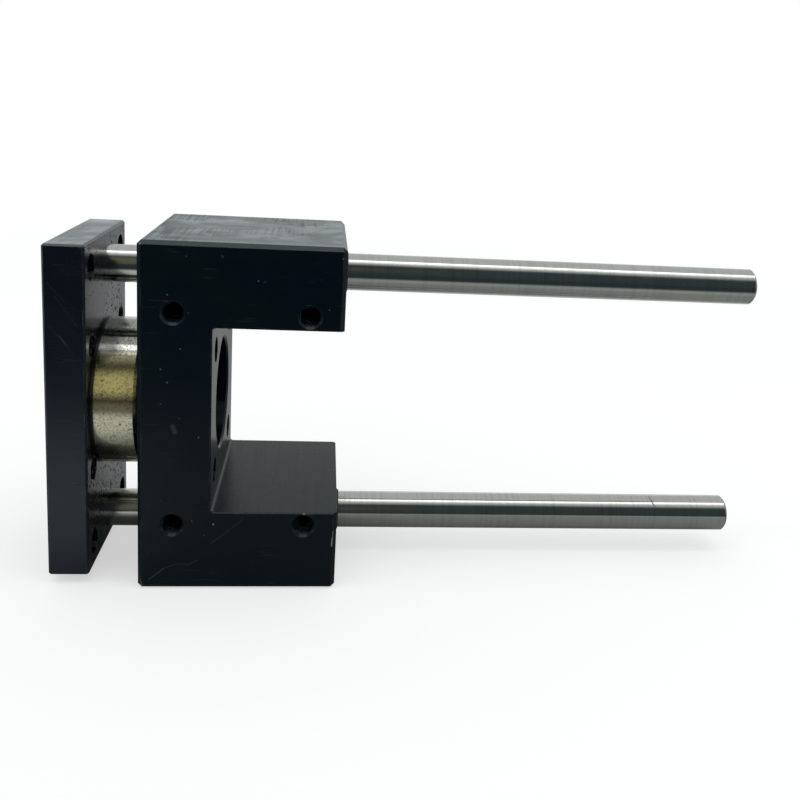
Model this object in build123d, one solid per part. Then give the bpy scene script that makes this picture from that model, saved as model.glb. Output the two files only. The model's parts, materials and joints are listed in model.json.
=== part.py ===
"""Rod guide for a pneumatic cylinder: a U-shaped housing, two guide rods, a front plate and its coupling.

Millimetres. X runs along the rods to their free ends, Z from the lower rod to the upper one.
The origin is the centre of the cylinder's bolt square, on the face its cover seats on.
"""
from build123d import *
import os
from dataclasses import dataclass

# Cylinder interface: 32 mm bore, standard cover
BOLT_SQUARE = 32.5
PILOT_D = 30.0
COVER_BOLT = 6.0
ROD_THREAD = 10.0
ROD_PITCH = 1.25

# Housing
WEB_T = 18.0
ARM_T = 21.0
HOUSING_L = 50.0
HOUSING_D = 50.0
HOUSING_H = 90.0
HOUSING_CHAMFER = 1.0
GAP_FILLET = 0.8
GAP_BREAK = 0.25
PILOT_CHAMFER = 0.5
SIDE_HOLES_X = 33.0
SIDE_HOLES_Z = 55.0
SIDE_THREAD = 6.0
SIDE_PITCH = 1.0
SIDE_HOLE_DEPTH = 12.0

# Guide rods and travel
ROD_D = 10.0
ROD_BEVEL = 0.6
STROKE = 110.0
ROD_OVERRUN = 5.0
REST_GAP = 1.5
ROD_SOCKET = 3.0

# Front plate
PLATE_T = 10.0
PLATE_MARGIN = 8.25
PLATE_END = 6.5
PLATE_SIDE = 6.25
PLATE_CHAMFER = 0.5
LOAD_BOLT = 6.0
LOAD_THREAD = 6.0
LOAD_PITCH = 1.0

# Coupling
COUPLING_D = 39.0
COUPLING_L = 11.0
COUPLING_LIP = 3.0
COUPLING_CHAMFER = 0.6
NOSE_D = 15.0
NOSE_REACH = 1.0
NOSE_CHAMFER = 0.5
THREAD_CHAMFER = 0.8
FLANGE_D = 22.0
TAIL_SHORT = 2.5
TAIL_SLOT = 3.0
WASHER_T = 1.5

# Bushes, retaining rings and wipers
BUSH_WALL = 3.0
GREASE_SPACE = 5.4
BUSH_CHAMFER = 0.4
RELIEF = 1.0
RING_T = 1.0
RING_W = 1.6
RING_GAP = 4.0
GROOVE_DEPTH = 0.4
WIPER_T = 3.2
WIPER_REACH = 0.8
WIPER_EDGE = 0.4
WIPER_ROOT = 1.0
WIPER_HOLLOW = 0.4

# Countersunk socket screws: rod screws and coupling screws
ROD_SCREW = 6.0
ROD_SCREW_PITCH = 1.0
ROD_SCREW_HEAD = 12.0
ROD_SCREW_KEY = 4.0
ROD_SCREW_L = 20.0
COUPLING_SCREW = 4.0
COUPLING_SCREW_PITCH = 0.7
COUPLING_SCREW_HEAD = 8.0
COUPLING_SCREW_KEY = 2.5
COUPLING_SCREW_L = 16.0

# Fits and clearances, radial unless named otherwise
RUN_CLEAR = 0.04
SEAT_CLEAR = 0.02
WIPE_CLEAR = 0.06
FLOAT = 0.6
END_FLOAT = 0.1
SCREW_CLEAR = 0.3
CAP_CLEAR = 0.5
CAP_SINK = 0.8
GROOVE_CLEAR = 0.1
SINK = 0.6
HEAD_SINK = 0.2

# Shop constants: thread height and run-out in pitches, slope of a drill's tip, key depth in head heights
THREAD_HEIGHT = 0.65
RUN_OUT = 2.0
DRILL_SLOPE = 0.6
KEY_SHARE = 0.75
CUT_PAST = 1.0

# Positions that follow
SEAT_X = 0.0
WEB_X = SEAT_X - WEB_T
TIP_X = WEB_X + HOUSING_L
MID_X = (WEB_X + TIP_X) / 2
GAP_H = HOUSING_H - 2 * ARM_T
ROD_Z = (HOUSING_H - ARM_T) / 2
COUPLING_X = WEB_X - REST_GAP
PLATE_X = COUPLING_X - COUPLING_L
OUTER_X = PLATE_X - PLATE_T
PLATE_H = 2 * (ROD_Z + PLATE_MARGIN)
PLATE_D = BOLT_SQUARE + 2 * PLATE_SIDE
ROD_END_X = TIP_X + STROKE + ROD_OVERRUN
ROD_ROOT_X = PLATE_X - ROD_SOCKET
BUSH_OD = ROD_D + 2 * BUSH_WALL
SEAT_R = BUSH_OD / 2 + SEAT_CLEAR
RING_START = WIPER_T + GROOVE_CLEAR
RING_END = RING_START + RING_T
BUSH_END = (HOUSING_L - GREASE_SPACE) / 2
CAVITY_R = FLANGE_D / 2 + FLOAT
SCREW_CIRCLE_R = (COUPLING_D / 2 + CAVITY_R) / 2
NOSE_R = NOSE_D / 2
NOSE_HOLE_R = NOSE_R + FLOAT + SCREW_CLEAR
FLANGE_X = COUPLING_X - COUPLING_LIP - WASHER_T
FLANGE_T = COUPLING_L - COUPLING_LIP - 2 * WASHER_T - END_FLOAT
TAIL_X = OUTER_X + TAIL_SHORT


def tap_drill(major, pitch):
    """Diameter of the hole that a thread is cut in."""
    return major - pitch


def cap_head(major):
    """Head diameter of a socket cap screw."""
    return 1.5 * major + 1.0


def rod_x(radius, x0, x1, y=0.0, z=0.0):
    """Round bar along X from x0 to x1."""
    return Pos((x0 + x1) / 2, y, z) * (Rot(0, 90, 0) * Cylinder(radius, abs(x1 - x0)))


def cone_x(r0, r1, x0, x1, y=0.0, z=0.0):
    """Cone along X, radius r0 at x0 and r1 at x1, with x0 below x1."""
    return Pos((x0 + x1) / 2, y, z) * (Rot(0, 90, 0) * Cone(r0, r1, x1 - x0))


def turned(points, y=0.0, z=0.0):
    """Ring turned about an X axis from (x, radius) points."""
    return Pos(0, y, z) * revolve(make_face(Polyline(points, close=True)), Axis.X)


def grid(dy, dz):
    """Four corners of a rectangle across the rods."""
    return [(sy * dy / 2, sz * dz / 2) for sz in (1, -1) for sy in (-1, 1)]


def cross(r):
    """Four places on a circle of radius r, on the Y and Z axes."""
    return [(r, 0), (0, r), (-r, 0), (0, -r)]


def box_between(x0, x1, y0, y1, z0, z1):
    """Box between two corners."""
    return Pos((x0 + x1) / 2, (y0 + y1) / 2, (z0 + z1) / 2) * Box(x1 - x0, y1 - y0, z1 - z0)


@dataclass(frozen=True)
class Countersunk:
    """Countersunk socket screw along X, its head just below the plate's outer face."""

    major: float
    pitch: float
    head: float
    key: float
    length: float

    def mean_r(self):
        """Radius halfway up the thread, where the screw and its hole meet."""
        return (self.major - THREAD_HEIGHT * self.pitch) / 2

    def end_x(self):
        """Where the screw ends."""
        return OUTER_X + HEAD_SINK + self.length

    def solid(self, y, z):
        """The screw itself."""
        x = OUTER_X + HEAD_SINK
        height = self.head / 2 - self.mean_r()
        screw = rod_x(self.mean_r(), x, self.end_x(), y, z)
        screw += cone_x(self.head / 2, self.mean_r(), x, x + height, y, z)
        key = extrude(RegularPolygon(self.key / 2, 6, major_radius=False), KEY_SHARE * height)
        return screw - Pos(x, y, z) * (Rot(0, 90, 0) * key)

    def seat(self, y, z):
        """Hole through the plate that the screw passes and its head sits in."""
        hole, wide = self.major / 2 + SCREW_CLEAR, self.head / 2 + SEAT_CLEAR
        x = OUTER_X + HEAD_SINK
        mouth = rod_x(wide, OUTER_X, x, y, z) + cone_x(wide, hole, x, x + wide - hole, y, z)
        return mouth + rod_x(hole, x, PLATE_X, y, z)

    def tapped(self, x, y, z):
        """Threaded hole from x to just past the screw's end."""
        return rod_x(self.mean_r() + SEAT_CLEAR, x, self.end_x() + RUN_OUT * self.pitch, y, z)


ROD_SCREWS = Countersunk(ROD_SCREW, ROD_SCREW_PITCH, ROD_SCREW_HEAD, ROD_SCREW_KEY, ROD_SCREW_L)
COUPLING_SCREWS = Countersunk(
    COUPLING_SCREW, COUPLING_SCREW_PITCH, COUPLING_SCREW_HEAD, COUPLING_SCREW_KEY, COUPLING_SCREW_L)


def side_hole(x, z, side):
    """Tapped hole with a countersunk mouth in the front (side -1) or back (side 1) face."""
    radius = tap_drill(SIDE_THREAD, SIDE_PITCH) / 2
    tip = DRILL_SLOPE * radius
    tool = Pos(0, 0, -SIDE_HOLE_DEPTH / 2) * Cylinder(radius, SIDE_HOLE_DEPTH)
    tool += Pos(0, 0, -SIDE_HOLE_DEPTH - tip / 2) * Cone(0, radius, tip)
    tool += Pos(0, 0, -SINK / 2) * Cone(radius, radius + SINK, SINK)
    return Pos(x, side * HOUSING_D / 2, z) * (Rot(-90 * side, 0, 0) * tool)


def rod_bore(z):
    """Stepped bore through one arm: wiper and bush seats, retaining ring grooves, relief between them."""
    bore = rod_x(ROD_D / 2 + RELIEF, WEB_X, TIP_X, 0, z)
    for face, inward in ((WEB_X, 1), (TIP_X, -1)):
        bore += rod_x(SEAT_R, face, face + inward * BUSH_END, 0, z)
        bore += rod_x(SEAT_R + GROOVE_DEPTH, face + inward * WIPER_T, face + inward * RING_END, 0, z)
    return bore


def gap_rims(body):
    """Edges where the gap meets the front and back faces of an undrilled block."""
    web_middle = (WEB_X + SEAT_X) / 2
    return [edge for face in body.faces().filter_by(Axis.Y) for edge in face.edges()
            if edge.center().X > web_middle and abs(edge.center().Z) < GAP_H / 2 + GAP_BREAK]


def housing():
    """U-shaped aluminium block: a web for the cylinder's cover and one arm for each rod."""
    body = box_between(WEB_X, TIP_X, -HOUSING_D / 2, HOUSING_D / 2, -HOUSING_H / 2, HOUSING_H / 2)
    body = chamfer(body.edges(), HOUSING_CHAMFER)
    gap = box_between(SEAT_X, TIP_X + CUT_PAST, -HOUSING_D, HOUSING_D, -GAP_H / 2, GAP_H / 2)
    body -= fillet(gap.edges().filter_by(Axis.Y).group_by(Axis.X)[0], GAP_FILLET)
    body = chamfer(gap_rims(body), GAP_BREAK)
    wide = PILOT_D / 2 + PILOT_CHAMFER
    body -= rod_x(PILOT_D / 2, WEB_X, SEAT_X)
    body -= cone_x(PILOT_D / 2, wide, SEAT_X - PILOT_CHAMFER, SEAT_X)
    body -= cone_x(wide, PILOT_D / 2, WEB_X, WEB_X + PILOT_CHAMFER)
    for y, z in grid(BOLT_SQUARE, BOLT_SQUARE):
        body -= rod_x(COVER_BOLT / 2 + SCREW_CLEAR, WEB_X, SEAT_X, y, z)
        body -= rod_x(cap_head(COVER_BOLT) / 2 + CAP_CLEAR, WEB_X, WEB_X + COVER_BOLT + CAP_SINK, y, z)
    for z in (ROD_Z, -ROD_Z):
        body -= rod_bore(z)
    for side in (-1, 1):
        for x, z in grid(SIDE_HOLES_X, SIDE_HOLES_Z):
            body -= side_hole(MID_X + x, z, side)
    return body


def front_plate():
    """Plate that the rods and the coupling are screwed to, with the load's holes."""
    plate = box_between(OUTER_X, PLATE_X, -PLATE_D / 2, PLATE_D / 2, -PLATE_H / 2, PLATE_H / 2)
    plate = chamfer(plate.edges(), PLATE_CHAMFER)
    plate -= rod_x(NOSE_HOLE_R, OUTER_X, PLATE_X)
    tap = tap_drill(LOAD_THREAD, LOAD_PITCH) / 2
    for y, z in grid(BOLT_SQUARE, BOLT_SQUARE):
        plate -= rod_x(tap, OUTER_X, PLATE_X, y, z)
        plate -= cone_x(tap + SINK, tap, OUTER_X, OUTER_X + SINK, y, z)
        plate -= cone_x(tap, tap + SINK, PLATE_X - SINK, PLATE_X, y, z)
    for y, z in grid(BOLT_SQUARE, PLATE_H - 2 * PLATE_END):
        plate -= rod_x(LOAD_BOLT / 2 + SCREW_CLEAR, OUTER_X, PLATE_X, y, z)
    for z in (ROD_Z, -ROD_Z):
        plate -= rod_x(ROD_D / 2 + SEAT_CLEAR, ROD_ROOT_X, PLATE_X, 0, z)
        plate -= ROD_SCREWS.seat(0, z)
    for y, z in cross(SCREW_CIRCLE_R):
        plate -= COUPLING_SCREWS.seat(y, z)
    return plate


def guide_rod(z):
    """Ground rod with bevelled ends, tapped at the plate's end."""
    rod = chamfer(rod_x(ROD_D / 2, ROD_ROOT_X, ROD_END_X, 0, z).edges(), ROD_BEVEL)
    return rod - ROD_SCREWS.tapped(ROD_ROOT_X, 0, z)


def seat_ring(face, inward, z, points):
    """Turned ring in an arm's bore, from (depth, radius) points counted from the arm's face."""
    return turned([(face + inward * depth, radius) for depth, radius in points], 0, z)


def bush(face, inward, z):
    """Plain bearing bush between the retaining ring and the bore's shoulder."""
    inner, outer = ROD_D / 2 + RUN_CLEAR, BUSH_OD / 2
    return seat_ring(face, inward, z, [
        (RING_END, inner), (RING_END, outer - BUSH_CHAMFER), (RING_END + BUSH_CHAMFER, outer),
        (BUSH_END, outer), (BUSH_END, inner)])


def wiper(face, inward, z):
    """Scraper ring pressed into the bore, its tapered lip standing out of the arm."""
    lip, outer = ROD_D / 2 + WIPE_CLEAR, BUSH_OD / 2
    return seat_ring(face, inward, z, [
        (-WIPER_REACH, lip), (-WIPER_REACH, lip + WIPER_EDGE), (0, lip + WIPER_ROOT), (0, outer),
        (WIPER_T, outer), (WIPER_T, lip + WIPER_HOLLOW), (0, lip + WIPER_HOLLOW)])


def retaining_ring(face, inward, z):
    """Split spring ring in the groove that holds a bush."""
    outer = SEAT_R + GROOVE_DEPTH - SEAT_CLEAR
    ring = seat_ring(face, inward, z, [
        (RING_START, outer - RING_W), (RING_START, outer), (RING_END, outer), (RING_END, outer - RING_W)])
    middle = face + inward * (RING_START + RING_END) / 2
    return ring - Pos(middle, outer, z) * Box(2 * RING_T, 2 * outer - RING_W, RING_GAP)


def coupling_body():
    """Round steel cover that holds the floating adapter against the plate."""
    lip_x = COUPLING_X - COUPLING_LIP
    body = turned([
        (PLATE_X, CAVITY_R), (PLATE_X, COUPLING_D / 2), (COUPLING_X - COUPLING_CHAMFER, COUPLING_D / 2),
        (COUPLING_X, COUPLING_D / 2 - COUPLING_CHAMFER), (COUPLING_X, NOSE_HOLE_R), (lip_x, NOSE_HOLE_R),
        (lip_x, CAVITY_R)])
    for y, z in cross(SCREW_CIRCLE_R):
        body -= COUPLING_SCREWS.tapped(PLATE_X, y, z)
    return body


def coupling_adapter():
    """Floating nut for the piston rod's thread, with a flange inside the coupling and a slotted tail."""
    thread = tap_drill(ROD_THREAD, ROD_PITCH) / 2
    mouth = thread + THREAD_CHAMFER
    back_x, nose_x = FLANGE_X - FLANGE_T, COUPLING_X + NOSE_REACH
    body = turned([
        (TAIL_X, mouth), (TAIL_X, NOSE_R - NOSE_CHAMFER), (TAIL_X + NOSE_CHAMFER, NOSE_R),
        (back_x, NOSE_R), (back_x, FLANGE_D / 2), (FLANGE_X, FLANGE_D / 2), (FLANGE_X, NOSE_R),
        (nose_x - NOSE_CHAMFER, NOSE_R), (nose_x, NOSE_R - NOSE_CHAMFER), (nose_x, mouth),
        (nose_x - THREAD_CHAMFER, thread), (TAIL_X + THREAD_CHAMFER, thread)])
    slot = box_between(
        TAIL_X - CUT_PAST, TAIL_X + TAIL_SLOT, -TAIL_SLOT / 2, TAIL_SLOT / 2, -NOSE_D, NOSE_D)
    return body - slot


def thrust_washer(x):
    """Hard flat washer beside the adapter's flange, from x towards +X."""
    inner, outer = NOSE_R + SCREW_CLEAR, CAVITY_R - SCREW_CLEAR
    return turned([(x, inner), (x, outer), (x + WASHER_T, outer), (x + WASHER_T, inner)])


def make_parts():
    """Every piece by its name."""
    parts = {
        "housing": housing(),
        "front_plate": front_plate(),
        "coupling_body": coupling_body(),
        "coupling_adapter": coupling_adapter(),
        "thrust_washer_nose": thrust_washer(FLANGE_X),
        "thrust_washer_plate": thrust_washer(PLATE_X),
        "coupling_screws": Compound(children=[
            COUPLING_SCREWS.solid(y, z) for y, z in cross(SCREW_CIRCLE_R)]),
    }
    for level, z in (("upper", ROD_Z), ("lower", -ROD_Z)):
        parts[f"guide_rod_{level}"] = guide_rod(z)
        parts[f"rod_screw_{level}"] = ROD_SCREWS.solid(0, z)
        for end, face, inward in (("web", WEB_X, 1), ("tip", TIP_X, -1)):
            parts[f"bush_{level}_{end}"] = bush(face, inward, z)
            parts[f"wiper_{level}_{end}"] = wiper(face, inward, z)
            parts[f"retaining_ring_{level}_{end}"] = retaining_ring(face, inward, z)
    return parts


os.makedirs("parts", exist_ok=True)
for name, shape in make_parts().items():
    export_step(shape, f"parts/{name}.step")
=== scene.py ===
"""Looks of a rod guide for a pneumatic cylinder: its finishes, threads, wiper lips, studio and camera.

Metres, in the frame's own axes: X along the rods to their free ends, +Y away from the viewer, Z up.
"""

import json
import logging
import math
from dataclasses import dataclass, field
from enum import Enum
from typing import Any, Mapping, Sequence, Union

import bmesh
import bpy
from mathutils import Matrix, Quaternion, Vector


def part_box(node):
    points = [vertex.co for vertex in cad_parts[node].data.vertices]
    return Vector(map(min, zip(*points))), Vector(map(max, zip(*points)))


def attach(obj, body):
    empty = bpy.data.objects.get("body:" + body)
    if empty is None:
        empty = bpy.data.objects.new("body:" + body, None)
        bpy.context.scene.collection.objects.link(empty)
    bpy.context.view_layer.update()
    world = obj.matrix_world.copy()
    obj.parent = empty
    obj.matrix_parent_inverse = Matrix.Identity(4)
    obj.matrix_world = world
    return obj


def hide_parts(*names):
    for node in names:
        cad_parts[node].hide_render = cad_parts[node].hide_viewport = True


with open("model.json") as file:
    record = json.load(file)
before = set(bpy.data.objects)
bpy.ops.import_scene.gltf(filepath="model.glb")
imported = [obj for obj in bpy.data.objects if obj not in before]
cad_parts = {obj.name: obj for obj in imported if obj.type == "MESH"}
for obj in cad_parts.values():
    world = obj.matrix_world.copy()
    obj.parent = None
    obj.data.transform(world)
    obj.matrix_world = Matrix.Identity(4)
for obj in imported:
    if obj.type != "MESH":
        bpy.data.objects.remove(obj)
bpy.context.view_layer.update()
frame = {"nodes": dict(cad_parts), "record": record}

LOG = logging.getLogger("rod_guide")
MM = 0.001
PHOTO_SIDE = 800
SENSOR = 36.0

Colour = tuple[float, float, float]
Triple = tuple[float, float, float]
Span = tuple[float, float]
Socket = bpy.types.NodeSocket
Tree = bpy.types.NodeTree
Source = Union[Socket, float, Sequence[float]]

WHITE: Colour = (1.0, 1.0, 1.0)
BLACK: Colour = (0.0, 0.0, 0.0)
UNTURNED: Triple = (0.0, 0.0, 0.0)
UP: Triple = (0.0, 0.0, 1.0)
ALONG_RODS: Triple = (1.0, 0.0, 0.0)
TOWARDS_VIEWER: Triple = (0.0, -1.0, 0.0)


class Body(Enum):
    """Bodies that pieces ride on."""

    HOUSING = "housing_unit"
    CARRIAGE = "carriage"
    ADAPTER = "adapter"


class Level(Enum):
    """The two guide rods."""

    UPPER = "upper"
    LOWER = "lower"


class End(Enum):
    """The two ends of a rod's bore."""

    WEB = "web"
    TIP = "tip"


class Effect(Enum):
    """Surface effects that several finishes share."""

    SPECKS = "specks"
    HAIRLINES = "hairlines"
    STREAKS = "streaks"
    EDGES = "worn_edges"
    MARK = "line_mark"


class Graph:
    """Short calls that add nodes to one node tree."""

    def __init__(self, tree: Tree) -> None:
        """Keeps the tree that the calls add to."""
        self.tree = tree

    def feed(self, socket: Socket, source: Source) -> None:
        """Links a socket to its input, or sets the input's own value.

        Args:
            socket: The input to fill.
            source: An output socket, a number or a sequence of numbers.
        """
        if isinstance(source, Socket):
            self.tree.links.new(source, socket)
        elif socket.type == "RGBA" and len(source) == 3:
            socket.default_value = (*source, 1.0)
        else:
            socket.default_value = source

    def add(self, kind: str, inputs: Mapping[Union[str, int], Source] | None = None, **settings: Any) -> Any:
        """Adds one node.

        Args:
            kind: The node's type name.
            inputs: What feeds its inputs, by name or place.
            **settings: The node's own properties.

        Returns:
            The new node.
        """
        node = self.tree.nodes.new(kind)
        for name, value in settings.items():
            setattr(node, name, value)
        for key, source in (inputs or {}).items():
            self.feed(node.inputs[key], source)
        return node

    def math(self, operation: str, *sources: Source, **settings: Any) -> Socket:
        """Adds a Math node with its inputs in order, and gives the result."""
        return self.add("ShaderNodeMath", dict(enumerate(sources)), operation=operation, **settings).outputs[0]

    def times(self, first: Source, second: Source) -> Socket:
        """Multiplies two values."""
        return self.math("MULTIPLY", first, second)

    def most(self, first: Source, second: Source) -> Socket:
        """Takes the larger of two values."""
        return self.math("MAXIMUM", first, second)

    def centred(self, noise: Source) -> Socket:
        """Moves a noise about 0.5 to one about 0."""
        return self.math("SUBTRACT", noise, 0.5)

    def total(self, start: Source, *parts: tuple[Source, Source]) -> Source:
        """Adds shares of several values to a first one.

        Args:
            start: The first value.
            *parts: Each other value with its share.

        Returns:
            The total.
        """
        for value, share in parts:
            start = self.math("MULTIPLY_ADD", value, share, start)
        return start

    def axis(self, point: Source, number: int) -> Socket:
        """Takes one measure of a point: 0 for X, 1 for Y, 2 for Z."""
        return self.add("ShaderNodeSeparateXYZ", {0: point}).outputs[number]

    def vector(self, operation: str, *sources: Source) -> Socket:
        """Adds a Vector Math node.

        Args:
            operation: The node's operation.
            *sources: Its inputs, in order.

        Returns:
            The number that the operation gives, or else its vector.
        """
        keys = ("Vector", "Scale") if operation == "SCALE" else range(len(sources))
        node = self.add("ShaderNodeVectorMath", dict(zip(keys, sources)), operation=operation)
        gives_number = operation in ("DOT_PRODUCT", "LENGTH", "DISTANCE")
        return node.outputs["Value" if gives_number else "Vector"]

    def step(self, value: Source, low: Source, high: Source) -> Socket:
        """Adds a smooth step of a value, which is 0 at low and 1 at high."""
        inputs = {"Value": value, "From Min": low, "From Max": high}
        return self.add("ShaderNodeMapRange", inputs, interpolation_type="SMOOTHSTEP").outputs[0]

    def blend(self, share: Source, first: Source, second: Source) -> Socket:
        """Mixes two colours, with so much of the second."""
        node = self.add("ShaderNodeMix", {0: share, 6: first, 7: second}, data_type="RGBA")
        return node.outputs[2]

    def noise(self, vector: Source, scale: Source, detail: float = 2.0) -> Socket:
        """Adds a noise about 0.5, with so many features per metre and so many octaves."""
        inputs = {"Vector": vector, "Scale": scale, "Detail": detail}
        return self.add("ShaderNodeTexNoise", inputs).outputs[0]

    def place(self) -> Socket:
        """The point on the object, in its own metres."""
        return self.add("ShaderNodeTexCoord").outputs["Object"]

    def facing(self, direction: Triple, low: float = 0.80, high: float = 0.98) -> Socket:
        """Masks the faces that look in a direction, from the cosine low to the cosine high."""
        normal = self.add("ShaderNodeTexCoord").outputs["Normal"]
        return self.step(self.vector("DOT_PRODUCT", normal, direction), low, high)


class EffectLibrary:
    """The node groups of the shared effects, each built once."""

    SPECK_CORE = 0.5
    LINE_SOFTNESS = 0.05
    LINE_PATCHES = (0.45, 0.60)
    BEVEL_SAMPLES = 6
    WEAR_TURN = (0.01, 0.12)
    WEAR_PATCHES = (0.50, 0.62)
    MARK_CORE = 0.4

    def __init__(self) -> None:
        """Builds every group."""
        self.trees = {
            Effect.SPECKS: self.specks(),
            Effect.HAIRLINES: self.hairlines(),
            Effect.STREAKS: self.streaks(),
            Effect.EDGES: self.edges(),
            Effect.MARK: self.mark(),
        }

    @staticmethod
    def open(effect: Effect, inputs: Mapping[str, str], outputs: Mapping[str, str]) -> tuple[Graph, Any, Any]:
        """Starts a group.

        Args:
            effect: The effect that the group makes.
            inputs: Its inputs, each name with its kind.
            outputs: Its outputs, the same way.

        Returns:
            Its nodes, its input node and its output node.
        """
        tree = bpy.data.node_groups.new(effect.value, "ShaderNodeTree")
        for ports, side in ((inputs, "INPUT"), (outputs, "OUTPUT")):
            for name, kind in ports.items():
                tree.interface.new_socket(name=name, in_out=side, socket_type=f"NodeSocket{kind}")
        graph = Graph(tree)
        return graph, graph.add("NodeGroupInput"), graph.add("NodeGroupOutput")

    def specks(self) -> Tree:
        """Small round specks that only some cells hold.

        Returns:
            A group whose Mask is 1 in a speck.
        """
        graph, given, made = self.open(
            Effect.SPECKS, {"Scale": "Float", "Size": "Float", "Share": "Float"}, {"Mask": "Float"})
        cells = graph.add("ShaderNodeTexVoronoi", {"Vector": graph.place(), "Scale": given.outputs["Scale"]})
        draw = graph.add("ShaderNodeSeparateColor", {0: cells.outputs["Color"]})
        radius = graph.times(given.outputs["Size"], draw.outputs[1])
        inside = graph.step(cells.outputs["Distance"], radius, graph.times(radius, self.SPECK_CORE))
        held = graph.math("LESS_THAN", draw.outputs[0], given.outputs["Share"])
        graph.feed(made.inputs["Mask"], graph.times(inside, held))
        return graph.tree

    def stretched(self, graph: Graph, given: Any) -> Socket:
        """Reads a noise that is drawn out as a group's inputs Turn and Stretch say."""
        inputs = {"Vector": graph.place(), "Rotation": given.outputs["Turn"], "Scale": given.outputs["Stretch"]}
        return graph.noise(graph.add("ShaderNodeMapping", inputs).outputs[0], 1.0, detail=3.0)

    def streaks(self) -> Tree:
        """Fine streaks that a cutter or a wheel leaves.

        Returns:
            A group whose Value varies about 0.5.
        """
        graph, given, made = self.open(Effect.STREAKS, {"Turn": "Vector", "Stretch": "Vector"}, {"Value": "Float"})
        graph.feed(made.inputs["Value"], self.stretched(graph, given))
        return graph.tree

    def hairlines(self) -> Tree:
        """Hairline scratches in patches.

        Returns:
            A group whose Mask is 1 in a scratch.
        """
        graph, given, made = self.open(
            Effect.HAIRLINES, {"Turn": "Vector", "Stretch": "Vector", "Level": "Float", "Patch": "Float"},
            {"Mask": "Float"})
        level = given.outputs["Level"]
        lines = graph.step(self.stretched(graph, given), level, graph.math("ADD", level, self.LINE_SOFTNESS))
        patches = graph.step(graph.noise(graph.place(), given.outputs["Patch"]), *self.LINE_PATCHES)
        graph.feed(made.inputs["Mask"], graph.times(lines, patches))
        return graph.tree

    def edges(self) -> Tree:
        """Rounded edges, worn in places.

        Returns:
            A group with a Mask of the wear and the rounded Normal.
        """
        graph, given, made = self.open(
            Effect.EDGES, {"Radius": "Float", "Patch": "Float"}, {"Mask": "Float", "Normal": "Vector"})
        bevel = graph.add("ShaderNodeBevel", {"Radius": given.outputs["Radius"]}, samples=self.BEVEL_SAMPLES)
        plain = graph.add("ShaderNodeNewGeometry").outputs["Normal"]
        turned = graph.math("SUBTRACT", 1.0, graph.vector("DOT_PRODUCT", bevel.outputs[0], plain))
        patches = graph.step(graph.noise(graph.place(), given.outputs["Patch"]), *self.WEAR_PATCHES)
        graph.feed(made.inputs["Mask"], graph.times(graph.step(turned, *self.WEAR_TURN), patches))
        graph.feed(made.inputs["Normal"], bevel.outputs[0])
        return graph.tree

    def mark(self) -> Tree:
        """One straight scratch between two points.

        Returns:
            A group whose Mask is 1 on the line.
        """
        graph, given, made = self.open(
            Effect.MARK, {"Start": "Vector", "End": "Vector", "Width": "Float"}, {"Mask": "Float"})
        start, width = given.outputs["Start"], given.outputs["Width"]
        run = graph.vector("SUBTRACT", given.outputs["End"], start)
        reach = graph.vector("SUBTRACT", graph.place(), start)
        along = graph.math(
            "DIVIDE", graph.vector("DOT_PRODUCT", reach, run), graph.vector("DOT_PRODUCT", run, run))
        held = graph.add("ShaderNodeClamp", {"Value": along}).outputs[0]
        gap = graph.vector("DISTANCE", reach, graph.vector("SCALE", run, held))
        graph.feed(made.inputs["Mask"], graph.step(gap, width, graph.times(width, self.MARK_CORE)))
        return graph.tree


@dataclass(frozen=True)
class Mark:
    """A scratch between two points of the frame, in millimetres."""

    start: Triple
    end: Triple
    width: float
    strength: float


@dataclass(frozen=True)
class Specks:
    """Round specks: cells per metre, radius in cells, the share of cells that hold one, and strength."""

    scale: float
    size: float
    share: float
    strength: float = 1.0


@dataclass(frozen=True)
class Lines:
    """Hairlines: features per metre each way, the noise's level at a line, patches per metre, and strength."""

    stretch: Triple
    level: float
    patch: float
    strength: float = 1.0


@dataclass(frozen=True)
class Layer:
    """What one effect adds to the worn colour, to the roughness and to the bump's height."""

    colour: float = 0.0
    gloss: float = 0.0
    height: float = 0.0


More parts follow.
